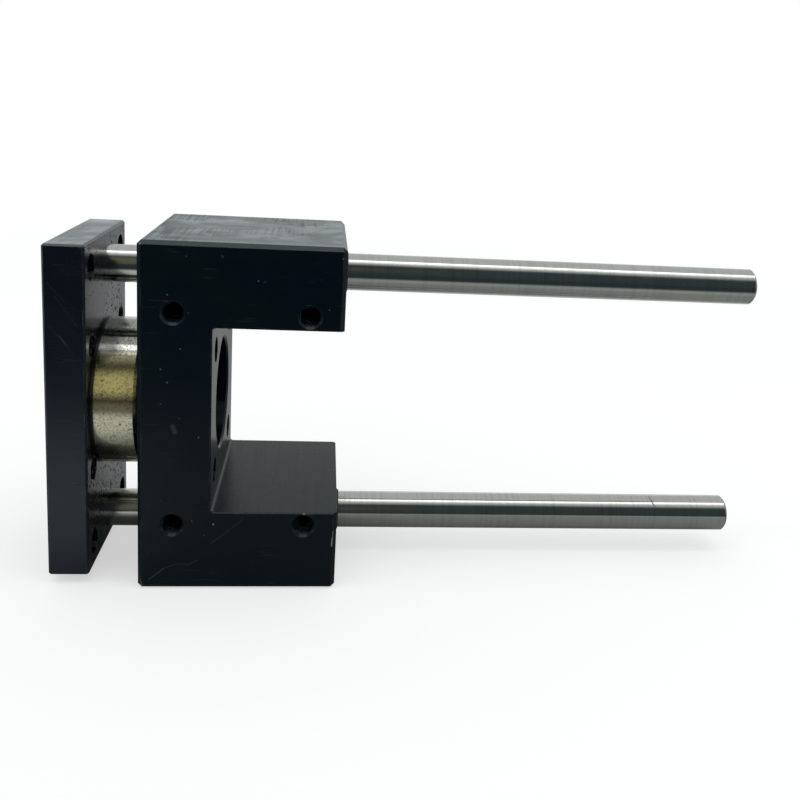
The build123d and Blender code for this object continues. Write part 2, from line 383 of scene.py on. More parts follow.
class Coat(Graph):
    """The nodes of one finish's material, with its shader and the shared effects."""

    QUARTER_TURN = 0.25

    def __init__(self, name: str, effects: EffectLibrary) -> None:
        """Starts the material.

        Args:
            name: The finish's name.
            effects: The shared effects.
        """
        self.material = bpy.data.materials.new(name)
        self.material.use_nodes = True
        super().__init__(self.material.node_tree)
        self.shader = self.tree.nodes["Principled BSDF"]
        self.effects = effects

    def effect(self, effect: Effect, **inputs: Source) -> Any:
        """Places a shared effect, with values for its inputs."""
        return self.add("ShaderNodeGroup", inputs, node_tree=self.effects.trees[effect])

    def put(self, sources: Mapping[str, Source]) -> None:
        """Feeds the shader's inputs, by name."""
        for name, source in sources.items():
            self.feed(self.shader.inputs[name], source)

    def specks(self, kind: Specks) -> Socket:
        """A mask of specks."""
        node = self.effect(Effect.SPECKS, Scale=kind.scale, Size=kind.size, Share=kind.share)
        return self.times(node.outputs["Mask"], kind.strength)

    def lines(self, kind: Lines, turn: Triple = UNTURNED) -> Socket:
        """A mask of hairlines, turned by three angles."""
        inputs = {"Turn": turn, "Stretch": kind.stretch, "Level": kind.level, "Patch": kind.patch}
        return self.times(self.effect(Effect.HAIRLINES, **inputs).outputs["Mask"], kind.strength)

    def streaks(self, stretch: Triple) -> Socket:
        """The value of streaks with so many features per metre each way, about 0.5."""
        return self.effect(Effect.STREAKS, Stretch=stretch).outputs["Value"]

    def edges(self, radius: float, patch: float = 220.0) -> Any:
        """The node of rounded edges, with so many worn patches per metre."""
        return self.effect(Effect.EDGES, Radius=radius, Patch=patch)

    def marks(self, marks: Sequence[Mark]) -> Source:
        """Adds scratches together.

        Args:
            marks: The scratches.

        Returns:
            One mask, or 0.0 if there are none.
        """
        total: Source = 0.0
        for mark in marks:
            node = self.effect(
                Effect.MARK, Start=Vector(mark.start) * MM, End=Vector(mark.end) * MM, Width=mark.width * MM)
            total = self.math("ADD", total, self.times(node.outputs["Mask"], mark.strength))
        return total

    def draw_round(self, anisotropy: float) -> None:
        """Draws highlights out round X, as turning and grinding leave them."""
        tangent = self.add("ShaderNodeTangent", direction_type="RADIAL", axis="X").outputs[0]
        self.put({"Anisotropic": anisotropy, "Anisotropic Rotation": self.QUARTER_TURN, "Tangent": tangent})

    def roughen(self, height: Source, relief: Span, **normal: Source) -> None:
        """Bumps the surface.

        Args:
            height: The bump's height, as a share of its depth.
            relief: Its strength, and its depth in metres.
            **normal: The Normal that it starts from, if not the surface's own.
        """
        inputs = {"Strength": relief[0], "Distance": relief[1], "Height": height, **normal}
        self.put({"Normal": self.add("ShaderNodeBump", inputs).outputs[0]})


@dataclass(frozen=True)
class Finish:
    """What every finish has: a name, a colour and a gloss."""

    name: str
    base: Colour
    roughness: float

    def paint(self, coat: Coat) -> None:
        """Feeds the shader, which each kind of finish does in its own way."""
        raise NotImplementedError

    def material(self, effects: EffectLibrary) -> bpy.types.Material:
        """Builds the material.

        Args:
            effects: The shared effects.

        Returns:
            The finished material.
        """
        coat = Coat(self.name, effects)
        self.paint(coat)
        return coat.material


@dataclass(frozen=True)
class Anodised(Finish):
    """Milled aluminium under black anodising."""

    tint: Colour
    specular: float
    dust: Specks
    specular_tint: Colour = WHITE
    # The worn colour serves real wear and also the painted sheen on the front chamfers.
    worn: Colour = (0.22, 0.26, 0.27)
    dusty: Colour = (0.20, 0.21, 0.20)
    pitted: Colour = (0.001, 0.001, 0.001)
    mill_stretch: Triple = (70.0, 2400.0, 2400.0)
    gap_stretch: Triple = (1500.0, 40.0, 2400.0)
    smear_stretch: Triple = (35.0, 260.0, 260.0)
    rub_stretch: Triple = (95.0, 120.0, 120.0)
    smear_span: Span = (0.42, 0.70)
    rub_span: Span = (0.40, 0.66)
    cloud_scale: float = 45.0
    cloud_span: Span = (0.38, 0.64)
    grain_scale: float = 5000.0
    pits: Specks = Specks(1400.0, 0.85, 0.0)
    pit_patch: float = 120.0
    pit_span: Span = (0.44, 0.58)
    across: Lines = Lines((1150.0, 45.0, 45.0), 0.50, 42.0)
    along: Lines = Lines((60.0, 760.0, 760.0), 0.60, 36.0)
    hatch_turn: Triple = UNTURNED
    slanted: Lines = Lines((110.0, 2600.0, 2600.0), 0.66, 85.0)
    slants: tuple[Triple, ...] = ((0.0, 0.75, 0.60), (0.4, -0.50, -0.90))
    gap_depth: Span = (-10.0 * MM, -20.0 * MM)
    top_rise: Span = (0.0, 30.0 * MM)
    top_least: float = 0.12
    band: Span = (-20.0 * MM, -23.0 * MM)
    band_share: float = 0.7
    # A painted sheen: chamfers that face up and towards the viewer are lightened with the worn colour.
    chamfer_sheen_towards: Triple = (0.0, -0.7071, 0.7071)
    chamfer_sheen_span: Span = (0.95, 0.99)
    mill: Layer = Layer(gloss=0.07, height=0.3)
    gap: Layer = Layer(gloss=0.22)
    cloud: Layer = Layer(gloss=0.10)
    grain: Layer = Layer(height=0.4)
    smear: Layer = Layer(colour=0.003)
    rubbed: Layer = Layer(colour=0.08, gloss=-0.09)
    hatch: Layer = Layer(colour=0.21, gloss=0.13, height=-0.35)
    scratch: Layer = Layer(colour=0.06, height=-0.9)
    edge: Layer = Layer(colour=0.35)
    # The bevel layer is the painted sheen on the front chamfers.
    bevel: Layer = Layer(colour=0.14)
    light_gloss: float = 0.35
    pit: Layer = Layer(colour=0.8, gloss=0.65, height=-6.0)
    edge_radius: float = 0.25 * MM
    relief: Span = (0.6, 0.02 * MM)
    marks: tuple[Mark, ...] = ()

    def cutter_marks(self, coat: Coat, top: Source) -> tuple[Source, Source]:
        """Adds crossed cutter marks and pale rubbed bands to the upward faces.

        Args:
            coat: The material's nodes.
            top: A mask of the upward faces.

        Returns:
            The mask of the marks and that of the bands.
        """
        crossed = coat.most(coat.lines(self.across, self.hatch_turn), coat.lines(self.along, self.hatch_turn))
        front = coat.times(coat.step(coat.axis(coat.place(), 1), *self.band), self.band_share)
        rubbed = coat.most(coat.step(coat.streaks(self.rub_stretch), *self.rub_span), front)
        return coat.times(crossed, top), coat.times(rubbed, top)

    def paint(self, coat: Coat) -> None:
        """Feeds the shader.

        Args:
            coat: The material's nodes.
        """
        upward = coat.facing(UP)
        height_up = coat.axis(coat.place(), 2)
        rise = coat.total(self.top_least, (coat.step(height_up, *self.top_rise), 1.0 - self.top_least))
        gap_floor = coat.times(upward, coat.step(height_up, *self.gap_depth))
        hatch, rubbed = self.cutter_marks(coat, coat.times(upward, rise))
        milled = coat.times(coat.centred(coat.streaks(self.gap_stretch)), gap_floor)
        streaks = coat.streaks(self.mill_stretch)
        smears = coat.step(coat.streaks(self.smear_stretch), *self.smear_span)
        cloud = coat.noise(coat.place(), self.cloud_scale, detail=3.0)
        scratches = coat.most(*(coat.lines(self.slanted, turn) for turn in self.slants))
        pitted = coat.step(coat.noise(coat.place(), self.pit_patch), *self.pit_span)
        pits = coat.times(coat.times(coat.specks(self.pits), pitted), coat.facing(ALONG_RODS))
        light = coat.most(coat.specks(self.dust), coat.marks(self.marks))
        edges = coat.edges(self.edge_radius)
        # Painted sheen on the chamfers that face up and towards the viewer.
        front_chamfer_sheen = coat.facing(self.chamfer_sheen_towards, *self.chamfer_sheen_span)

        # Real wear (smears, rubbing, cutter marks, scratches, worn edges) and the painted chamfer sheen, all in the
        # worn colour.
        wear_and_chamfer_sheen = coat.total(
            coat.times(smears, self.smear.colour), (rubbed, self.rubbed.colour),
            (hatch, self.hatch.colour), (scratches, self.scratch.colour),
            (edges.outputs["Mask"], self.edge.colour), (front_chamfer_sheen, self.bevel.colour))
        colour = coat.blend(coat.step(cloud, *self.cloud_span), self.base, self.tint)
        colour = coat.blend(wear_and_chamfer_sheen, colour, self.worn)
        colour = coat.blend(light, colour, self.dusty)
        colour = coat.blend(coat.times(pits, self.pit.colour), colour, self.pitted)

        rough = coat.most(coat.times(light, self.light_gloss), coat.times(pits, self.pit.gloss))
        gloss = coat.total(
            self.roughness, (coat.centred(streaks), self.mill.gloss), (milled, self.gap.gloss),
            (coat.centred(cloud), self.cloud.gloss), (hatch, self.hatch.gloss), (rubbed, self.rubbed.gloss))
        coat.put({
            "Base Color": colour, "Roughness": coat.math("ADD", rough, gloss),
            "Specular IOR Level": self.specular, "Specular Tint": self.specular_tint})

        height = coat.total(
            coat.times(coat.noise(coat.place(), self.grain_scale), self.grain.height), (streaks, self.mill.height),
            (scratches, self.scratch.height), (hatch, self.hatch.height), (pits, self.pit.height))
        coat.roughen(height, self.relief, Normal=edges.outputs["Normal"])


@dataclass(frozen=True)
class GroundSteel(Finish):
    """A ground and polished rod along X."""

    line: Colour = (0.40, 0.41, 0.40)
    dark: Colour = (0.05, 0.045, 0.04)
    end_face: Colour = (0.10, 0.11, 0.12)
    ring_stretch: Triple = (6500.0, 30.0, 30.0)
    grind_stretch: Triple = (1100.0, 40.0, 40.0)
    grind_span: Span = (0.44, 0.66)
    band_stretch: Triple = (160.0, 12.0, 12.0)
    lines: Lines = Lines((9000.0, 260.0, 260.0), 0.66, 80.0, 0.35)
    specks: Specks = Specks(1300.0, 0.28, 0.03, 0.6)
    end_span: Span = (0.30, 0.60)
    grind_share: float = 0.28
    end_share: float = 0.80
    band_gloss: float = 0.12
    ring_gloss: float = 0.08
    dark_gloss: float = 0.4
    anisotropy: float = 0.6
    edge_radius: float = 0.2 * MM
    relief: Span = (0.12, 0.01 * MM)
    marks: tuple[Mark, ...] = ()

    def paint(self, coat: Coat) -> None:
        """Feeds the shader.

        Args:
            coat: The material's nodes.
        """
        rings = coat.streaks(self.ring_stretch)
        ground = coat.step(coat.streaks(self.grind_stretch), *self.grind_span)
        dark = coat.most(coat.marks(self.marks), coat.specks(self.specks))
        colour = coat.blend(coat.times(ground, self.grind_share), self.base, self.line)
        colour = coat.blend(coat.lines(self.lines), colour, self.line)
        colour = coat.blend(dark, colour, self.dark)
        end = coat.facing(ALONG_RODS, *self.end_span)
        colour = coat.blend(coat.times(end, self.end_share), colour, self.end_face)
        gloss = coat.total(
            self.roughness, (coat.centred(coat.streaks(self.band_stretch)), self.band_gloss),
            (coat.centred(rings), self.ring_gloss), (dark, self.dark_gloss))
        coat.put({"Base Color": colour, "Metallic": 1.0, "Roughness": gloss})
        coat.draw_round(self.anisotropy)
        coat.roughen(rings, self.relief, Normal=coat.edges(self.edge_radius).outputs["Normal"])


@dataclass(frozen=True)
class TurnedSteel(Finish):
    """Satin turned steel round X, speckled, with painted light: a painted warm reflection as a yellow band with a
    tan fringe on the side facing the viewer and on the opposite side, a warmer painted tone on the underside, and a
    painted contact shade next to the plate.
    """

    # The yellow patch colour and the tan round it are a painted warm reflection, and the lower colour is a painted
    # warmer tone on the underside.
    patch: Colour = (1.0, 0.88, 0.33)
    reflection_fringe: Colour = (0.40, 0.35, 0.20)
    lower: Colour = (0.66, 0.64, 0.49)
    # Near-black of the painted contact shade beside the plate.
    black: Colour = (0.006, 0.009, 0.012)
    speck: Colour = (0.045, 0.045, 0.040)
    # The painted warm reflection sits on faces whose outward normal is near these directions: towards the viewer and
    # a little up, and the opposite way.
    warm_reflection_towards: tuple[Triple, ...] = ((0.0, -0.930, 0.368), (0.0, 0.82, -0.57))
    warm_reflection_span: Span = (0.938, 1.01)
    warm_reflection_power: float = 3.0
    warm_reflection_film: float = 0.75
    reflection_fringe_span: Span = (0.89, 0.96)
    reflection_fringe_film: float = 0.6
    # The span below sets the underside that gets the painted warmer tone.
    underside_warm_span: Span = (0.20, 0.06)
    ring_stretch: Triple = (5200.0, 60.0, 60.0)
    mottle_scale: float = 1900.0
    mottle_span: Span = (0.42, 0.66)
    mottle_share: float = 0.38
    grain_span: Span = (0.36, 0.62)
    grain_least: float = 0.60
    grain_swing: float = 0.8
    cluster_scale: float = 260.0
    cluster_span: Span = (0.36, 0.60)
    fine: Specks = Specks(1700.0, 0.9, 0.40, 0.36)
    coarse: Specks = Specks(900.0, 0.5, 0.16, 0.80)
    # A painted contact shade: a dark ring at the cover's end next to the plate, where the gap between them lies in
    # shade.
    plate_contact_shade: Span = (-29.5 * MM, -29.9 * MM)
    plate_contact_shade_share: float = 0.92
    mottle_gloss: float = 0.26
    underside_warm_gloss: float = 0.04
    warm_reflection_gloss: float = 0.08
    spot_gloss: float = 0.3
    ring_height: float = 0.6
    spot_height: float = -0.9
    anisotropy: float = 0.8
    edge_radius: float = 0.15 * MM
    relief: Span = (0.3, 0.02 * MM)

    def paint(self, coat: Coat) -> None:
        """Feeds the shader.

        Args:
            coat: The material's nodes.
        """
        place = coat.place()
        mottle = coat.noise(place, self.mottle_scale, detail=3.0)
        clusters = coat.step(coat.noise(place, self.cluster_scale), *self.cluster_span)
        spots = coat.times(coat.most(coat.specks(self.fine), coat.specks(self.coarse)), clusters)
        # Painted contact shade in the gap at the plate, placed by position along X.
        plate_contact_shade = coat.times(coat.step(coat.axis(place, 0), *self.plate_contact_shade), self.plate_contact_shade_share)
        outward = coat.vector("NORMALIZE", coat.vector("MULTIPLY", place, (0.0, 1.0, 1.0)))
        # Painted warmer tone on the underside, chosen by the outward normal's height.
        low = coat.step(coat.axis(outward, 2), *self.underside_warm_span)
        warm_reflection_mask: Source = 0.0
        reflection_fringe_mask: Source = 0.0
        # Painted warm reflection: a yellow band with a tan fringe round it, placed by the outward normal's
        # direction.
        for towards in self.warm_reflection_towards:
            near = coat.vector("DOT_PRODUCT", outward, towards)
            warm_reflection_mask = coat.most(warm_reflection_mask, coat.math("POWER", coat.step(near, *self.warm_reflection_span), self.warm_reflection_power))
            reflection_fringe_mask = coat.most(reflection_fringe_mask, coat.step(near, *self.reflection_fringe_span))
        grains = coat.total(self.grain_least, (coat.step(mottle, *self.grain_span), self.grain_swing))
        warm_reflection_mask = coat.math("MULTIPLY", warm_reflection_mask, grains, use_clamp=True)

        # Painted warm tones: the warmer underside first, then the tan fringe, then the yellow band.
        colour = coat.blend(reflection_fringe_mask, coat.blend(low, self.base, self.lower), self.reflection_fringe)
        colour = coat.blend(warm_reflection_mask, colour, self.patch)
        colour = coat.blend(coat.times(coat.step(mottle, *self.mottle_span), self.mottle_share), colour, self.speck)
        colour = coat.blend(spots, colour, self.speck)
        colour = coat.blend(plate_contact_shade, colour, self.black)
        spots = coat.most(spots, plate_contact_shade)
        # Less metal under the painted warm reflection, so that it shows as colour.
        reflection_film = coat.times(coat.most(warm_reflection_mask, coat.times(coat.times(reflection_fringe_mask, low), self.reflection_fringe_film)), self.warm_reflection_film)
        gloss = coat.total(
            self.roughness, (coat.centred(mottle), self.mottle_gloss), (low, self.underside_warm_gloss),
            (warm_reflection_mask, self.warm_reflection_gloss), (spots, self.spot_gloss))
        coat.put({"Base Color": colour, "Metallic": coat.math("SUBTRACT", 1.0, reflection_film), "Roughness": gloss})
        coat.draw_round(self.anisotropy)
        height = coat.total(mottle, (coat.streaks(self.ring_stretch), self.ring_height), (spots, self.spot_height))
        coat.roughen(height, self.relief, Normal=coat.edges(self.edge_radius).outputs["Normal"])


@dataclass(frozen=True)
class PlainMetal(Finish):
    """A small metal piece with a fine grain: washer, ring, bush or screw."""

    other: Colour
    worn: Colour = (0.45, 0.45, 0.44)
    metallic: float = 1.0
    stretch: Triple = (1400.0, 1400.0, 1400.0)
    grain_span: Span = (0.30, 0.70)
    specks: Specks = Specks(2200.0, 0.4, 0.1)
    edge_radius: float = 0.1 * MM
    edge_patch: float = 900.0
    edge_share: float = 0.5
    grain_gloss: float = 0.3
    speck_gloss: float = 0.2
    relief: Span = (0.3, 0.02 * MM)

    def paint(self, coat: Coat) -> None:
        """Feeds the shader.

        Args:
            coat: The material's nodes.
        """
        grain = coat.streaks(self.stretch)
        edges = coat.edges(self.edge_radius, self.edge_patch)
        colour = coat.blend(coat.step(grain, *self.grain_span), self.base, self.other)
        colour = coat.blend(coat.times(edges.outputs["Mask"], self.edge_share), colour, self.worn)
        gloss = coat.total(
            self.roughness, (coat.centred(grain), self.grain_gloss), (coat.specks(self.specks), self.speck_gloss))
        coat.put({"Base Color": colour, "Metallic": self.metallic, "Roughness": gloss})
        coat.roughen(grain, self.relief, Normal=edges.outputs["Normal"])


@dataclass(frozen=True)
class Rubber(Finish):
    """Matte black rubber, a little dusty."""

    dust: Colour = (0.050, 0.056, 0.060)
    cloud_scale: float = 900.0
    cloud_span: Span = (0.50, 0.85)
    specks: Specks = Specks(2400.0, 0.5, 0.2, 0.6)
    dust_gloss: float = 0.2
    relief: Span = (0.3, 0.03 * MM)

    def paint(self, coat: Coat) -> None:
        """Feeds the shader.

        Args:
            coat: The material's nodes.
        """
        cloud = coat.noise(coat.place(), self.cloud_scale, detail=4.0)
        dusty = coat.most(coat.step(cloud, *self.cloud_span), coat.specks(self.specks))
        gloss = coat.total(self.roughness, (dusty, self.dust_gloss))
        coat.put({"Base Color": coat.blend(dusty, self.base, self.dust), "Roughness": gloss})
        coat.roughen(cloud, self.relief)


@dataclass
class Shop:
    """Dresses the frame's nodes and adds new pieces."""

    effects: EffectLibrary
    made: dict[str, bpy.types.Material] = field(default_factory=dict)

    def material(self, finish: Finish) -> bpy.types.Material:
        """Builds a finish once.

        Args:
            finish: The finish.

        Returns:
            Its material.
        """
        if finish.name not in self.made:
            self.made[finish.name] = finish.material(self.effects)
        return self.made[finish.name]

    def dress(self, node: str, finish: Finish) -> None:
        """Gives a node of the frame its finish.

        Args:
            node: The node's name.
            finish: The finish.
        """
        for slot in frame["nodes"][node].material_slots:
            slot.material = self.material(finish)
        LOG.info("dressed %s with %s", node, finish.name)

    def piece(self, mesh: bpy.types.Mesh, body: Body, finish: Finish, slot: str) -> bpy.types.Object:
        """Adds a new piece.

        Args:
            mesh: Its mesh, in the frame's own place.
            body: What it rides on.
            finish: Its finish.
            slot: The record's material slot; not used.

        Returns:
            The piece.
        """
        mesh.materials.append(self.material(finish))
        made = bpy.data.objects.new(mesh.name, mesh)
        bpy.context.scene.collection.objects.link(made)
        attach(made, body.value)
        LOG.info("made %s on %s, %d faces", made.name, body.value, len(mesh.polygons))
        return made


def finished_mesh(name: str, shape: bmesh.types.BMesh, sharp: float = 0.7) -> bpy.types.Mesh:
    """Turns built geometry into a smooth mesh with sharp creases.

    Args:
        name: The mesh's name.
        shape: The geometry, which is freed.
        sharp: The angle in radians past which an edge stays sharp.

    Returns:
        The mesh.
    """
    bmesh.ops.recalc_face_normals(shape, faces=shape.faces)
    mesh = bpy.data.meshes.new(name)
    shape.to_mesh(mesh)
    shape.free()
    mesh.polygons.foreach_set("use_smooth", [True] * len(mesh.polygons))
    mesh.set_sharp_from_angle(angle=sharp)
    return mesh


def sweep_rows(shape: bmesh.types.BMesh, rows: Sequence[Sequence[Vector]], closed: bool) -> None:
    """Joins rows of points into a tube of faces.

    Args:
        shape: Where the faces go.
        rows: Closed profiles along the sweep, each with as many points.
        closed: True if the last row joins the first, and False if both are capped.
    """
    made = [[shape.verts.new(point) for point in row] for row in rows]
    count = len(made[0])
    pairs = list(zip(made, made[1:] + made[:1])) if closed else list(zip(made, made[1:]))
    for first, second in pairs:
        for k in range(count):
            after = (k + 1) % count
            shape.faces.new((first[k], first[after], second[after], second[k]))
    if not closed:
        shape.faces.new(made[0])
        shape.faces.new(list(reversed(made[-1])))


@dataclass(frozen=True)
class Thread:
    """The ridge of an internal thread, in metres."""

    wall_r: float
    pitch: float
    length: float
    steps: int = 28
    depth_share: float = 0.16
    root_share: float = 0.40
    crest_share: float = 0.07
    least_share: float = 0.02
    sunk_share: float = 0.1

    def add_to(self, shape: bmesh.types.BMesh, start: Vector, axis: Vector) -> None:
        """Winds the ridge on the wall of a hole.

        Args:
            shape: Where the faces go.
            start: The hole's centre where the ridge starts.
            axis: The direction into the hole, of length 1.
        """
        turn = axis.to_track_quat("Z", "Y")
        depth = self.pitch * self.depth_share
        root, crest = self.pitch * self.root_share, self.pitch * self.crest_share
        count = int(self.steps * self.length / self.pitch)
        rows = []
        for k in range(count + 1):
            angle = 2 * math.pi * k / self.steps
            rise = self.length * k / count
            taper = min(1.0, 2 * k / self.steps, 2 * (count - k) / self.steps)
            inner = self.wall_r - depth * max(taper, self.least_share)
            outer = self.wall_r + depth * self.sunk_share
            row = []
            for radius, lift in ((outer, -root), (inner, -crest), (inner, crest), (outer, root)):
                height = min(max(rise + lift, 0.0), self.length)
                point = Vector((radius * math.cos(angle), radius * math.sin(angle), height))
                row.append(start + turn @ point)
            rows.append(row)
        sweep_rows(shape, rows, closed=False)


def mount_named(name: str) -> Mapping[str, Any]:
    """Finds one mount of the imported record."""
    return next(mount for mount in frame["record"]["mounts"] if mount["name"] == name)


def threaded_holes(
        name: str, mount: str, centre: Vector, across: Vector, axis: Vector, pitch: float,
        length: float) -> bpy.types.Mesh:
    """Winds threads in the four holes of a mount.

    Args:
        name: The mesh's name.
        mount: The record's mount for these holes.
        centre: The middle of the four threads' starts.
        across: The direction of the holes' first spacing, of length 1.
        axis: The direction into the holes, of length 1.
        pitch: The threads' pitch.
        length: The threads' length.

    Returns:
        The mesh.
    """
    dims = mount_named(mount)["dims"]
    thread = Thread(dims["hole_r_mm"] * MM, pitch, length)
    half_across = across * (dims["spacing_x_mm"] / 2 * MM)
    half_up = Vector(UP) * (dims["spacing_y_mm"] / 2 * MM)
    shape = bmesh.new()
    for corner in (centre + half_across * a + half_up * b for a in (-1, 1) for b in (-1, 1)):
        thread.add_to(shape, corner, axis)
    return finished_mesh(name, shape)


@dataclass
class HousingUnit:
    """The U-shaped block with its tapped side holes."""

    shop: Shop
    finish: Anodised
    pitch: float = 1.0 * MM
    sink: float = 0.6 * MM
    depth: float = 10.6 * MM

    def side_thread(self, name: str, mount: str) -> None:
        """Cuts threads into one side's four holes.

        Args:
            name: The piece's name.
            mount: The record's mount for these holes.
        """
        pattern = mount_named(mount)
        outward = Vector(pattern["axis"])
        low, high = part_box("housing")
        centre = Vector(pattern["pos_m"])
        centre.y = low.y if outward.y < 0 else high.y
        mesh = threaded_holes(
            name, mount, centre - outward * self.sink, Vector(ALONG_RODS), -outward, self.pitch, self.depth)
        self.shop.piece(mesh, Body.HOUSING, self.finish, "anodised_black")

    def build(self) -> None:
        """Dresses the block and threads its side holes."""
        self.shop.dress("housing", self.finish)
        self.side_thread("side_threads_front", "front_threads")
        self.side_thread("side_threads_back", "back_threads")


@dataclass
class BoreEnds:
    """Bush, retaining ring and wiper at each end of both bores."""

    shop: Shop
    bronze: PlainMetal
    spring: PlainMetal
    rubber: Rubber
    lip_r: float = 5.06 * MM
    lip_edge: float = 0.4 * MM
    lip_root: float = 1.0 * MM
    hollow: float = 0.4 * MM
    reach: float = 0.8 * MM
    waist_at: float = 0.25
    waist_out: float = 0.80
    arc_step_deg: int = 15
    steps: int = 96

    def wiper(self, level: Level, end: End) -> None:
        """Turns a wiper whose lip and shoulder are rounded.

        Args:
            level: Which rod it scrapes.
            end: Which end of the bore it sits in.
        """
        node = f"wiper_{level.value}_{end.value}"
        low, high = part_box(node)
        axis_z = (low.z + high.z) / 2
        outer = (high.z - low.z) / 2
        outward = 1.0 if end is End.TIP else -1.0
        face = (high.x if end is End.TIP else low.x) - outward * self.reach
        back = (high.x - low.x) - self.reach
        round_r = self.lip_edge / 2
        lip_mid = self.lip_r + round_r
        arc = [(self.reach - round_r * (1 - math.cos(a)), lip_mid + round_r * math.sin(a))
               for a in (math.radians(d) for d in range(-90, 91, self.arc_step_deg))]
        profile = arc + [
            (self.waist_at * self.reach, self.lip_r + self.waist_out * self.lip_root),
            (0.0, self.lip_r + self.lip_root), (0.0, outer), (-back, outer),
            (-back, self.lip_r + self.hollow), (0.0, self.lip_r + self.hollow)]
        rows = []
        for k in range(self.steps):
            angle = 2 * math.pi * k / self.steps
            rows.append([Vector((face + outward * x, r * math.cos(angle), axis_z + r * math.sin(angle)))
                         for x, r in profile])
        shape = bmesh.new()
        sweep_rows(shape, rows, closed=True)
        made = self.shop.piece(finished_mesh(f"{node}_lip", shape), Body.HOUSING, self.rubber, "wiper_rubber")
        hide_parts(node)

    def build(self) -> None:
        """Dresses the bushes and rings, and turns the wipers."""
        for level in Level:
            for end in End:
                self.shop.dress(f"bush_{level.value}_{end.value}", self.bronze)
                self.shop.dress(f"retaining_ring_{level.value}_{end.value}", self.spring)
                self.wiper(level, end)


@dataclass
class Carriage:
    """Front plate, guide rods and their screws."""

    shop: Shop
    plate: Anodised
    rods: Mapping[Level, GroundSteel]
    oxide: PlainMetal
    pitch: float = 1.0 * MM
    sink: float = 0.6 * MM

    def plate_threads(self) -> None:
        """Cuts threads into the plate's inner four holes."""
        low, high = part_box("front_plate")
        centre = Vector((low.x + self.sink, 0.0, 0.0))
        length = high.x - low.x - 2 * self.sink
        mesh = threaded_holes(
            "plate_threads", "load_threads", centre, -Vector(TOWARDS_VIEWER), Vector(ALONG_RODS), self.pitch, length)
        self.shop.piece(mesh, Body.CARRIAGE, self.plate, "anodised_black")

    def build(self) -> None:
        """Dresses the plate, rods and screws, and threads the plate."""
        self.shop.dress("front_plate", self.plate)
        self.plate_threads()
        for level in Level:
            self.shop.dress(f"guide_rod_{level.value}", self.rods[level])
            self.shop.dress(f"rod_screw_{level.value}", self.oxide)


@dataclass
class Coupling:
    """Round cover, floating adapter, thrust washers and screws."""

    shop: Shop
    cover: TurnedSteel
    nut: TurnedSteel
    hardened: PlainMetal
    oxide: PlainMetal
    pitch: float = 1.25 * MM
    steps: int = 40
    tail_slot: float = 3.0 * MM
    mouth: float = 0.8 * MM

    def rod_thread(self) -> None:
        """Cuts the piston rod's thread into the adapter."""
        low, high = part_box("coupling_adapter")
        start = low.x + self.tail_slot
        wall_r = mount_named("piston_rod_thread")["dims"]["r_mm"] * MM
        shape = bmesh.new()
        thread = Thread(wall_r, self.pitch, high.x - self.mouth - start, self.steps)
        thread.add_to(shape, Vector((start, 0.0, 0.0)), Vector(ALONG_RODS))
        self.shop.piece(finished_mesh("adapter_thread", shape), Body.ADAPTER, self.nut, "turned_steel")

    def build(self) -> None:
        """Dresses the coupling's pieces and threads its adapter."""
        finishes = {
            "coupling_body": self.cover, "coupling_adapter": self.nut, "thrust_washer_nose": self.hardened,
            "thrust_washer_plate": self.hardened, "coupling_screws": self.oxide}
        for node, finish in finishes.items():
            self.shop.dress(node, finish)
        self.rod_thread()


@dataclass(frozen=True)
class Softbox:
    """One area lamp, aimed at a point."""

    name: str
    place: Triple
    aim: Triple
    size: tuple[float, float]
    power: float
    colour: Colour = WHITE

    def build(self) -> None:
        """Adds the lamp."""
        data = bpy.data.lights.new(self.name, "AREA")
        data.shape = "RECTANGLE"
        data.size, data.size_y = self.size
        data.energy = self.power
        data.color = self.colour
        lamp = bpy.data.objects.new(self.name, data)
        lamp.location = self.place
        lamp.rotation_mode = "QUATERNION"
        lamp.rotation_quaternion = (Vector(self.aim) - Vector(self.place)).to_track_quat("-Z", "Y")
        bpy.context.scene.collection.objects.link(lamp)


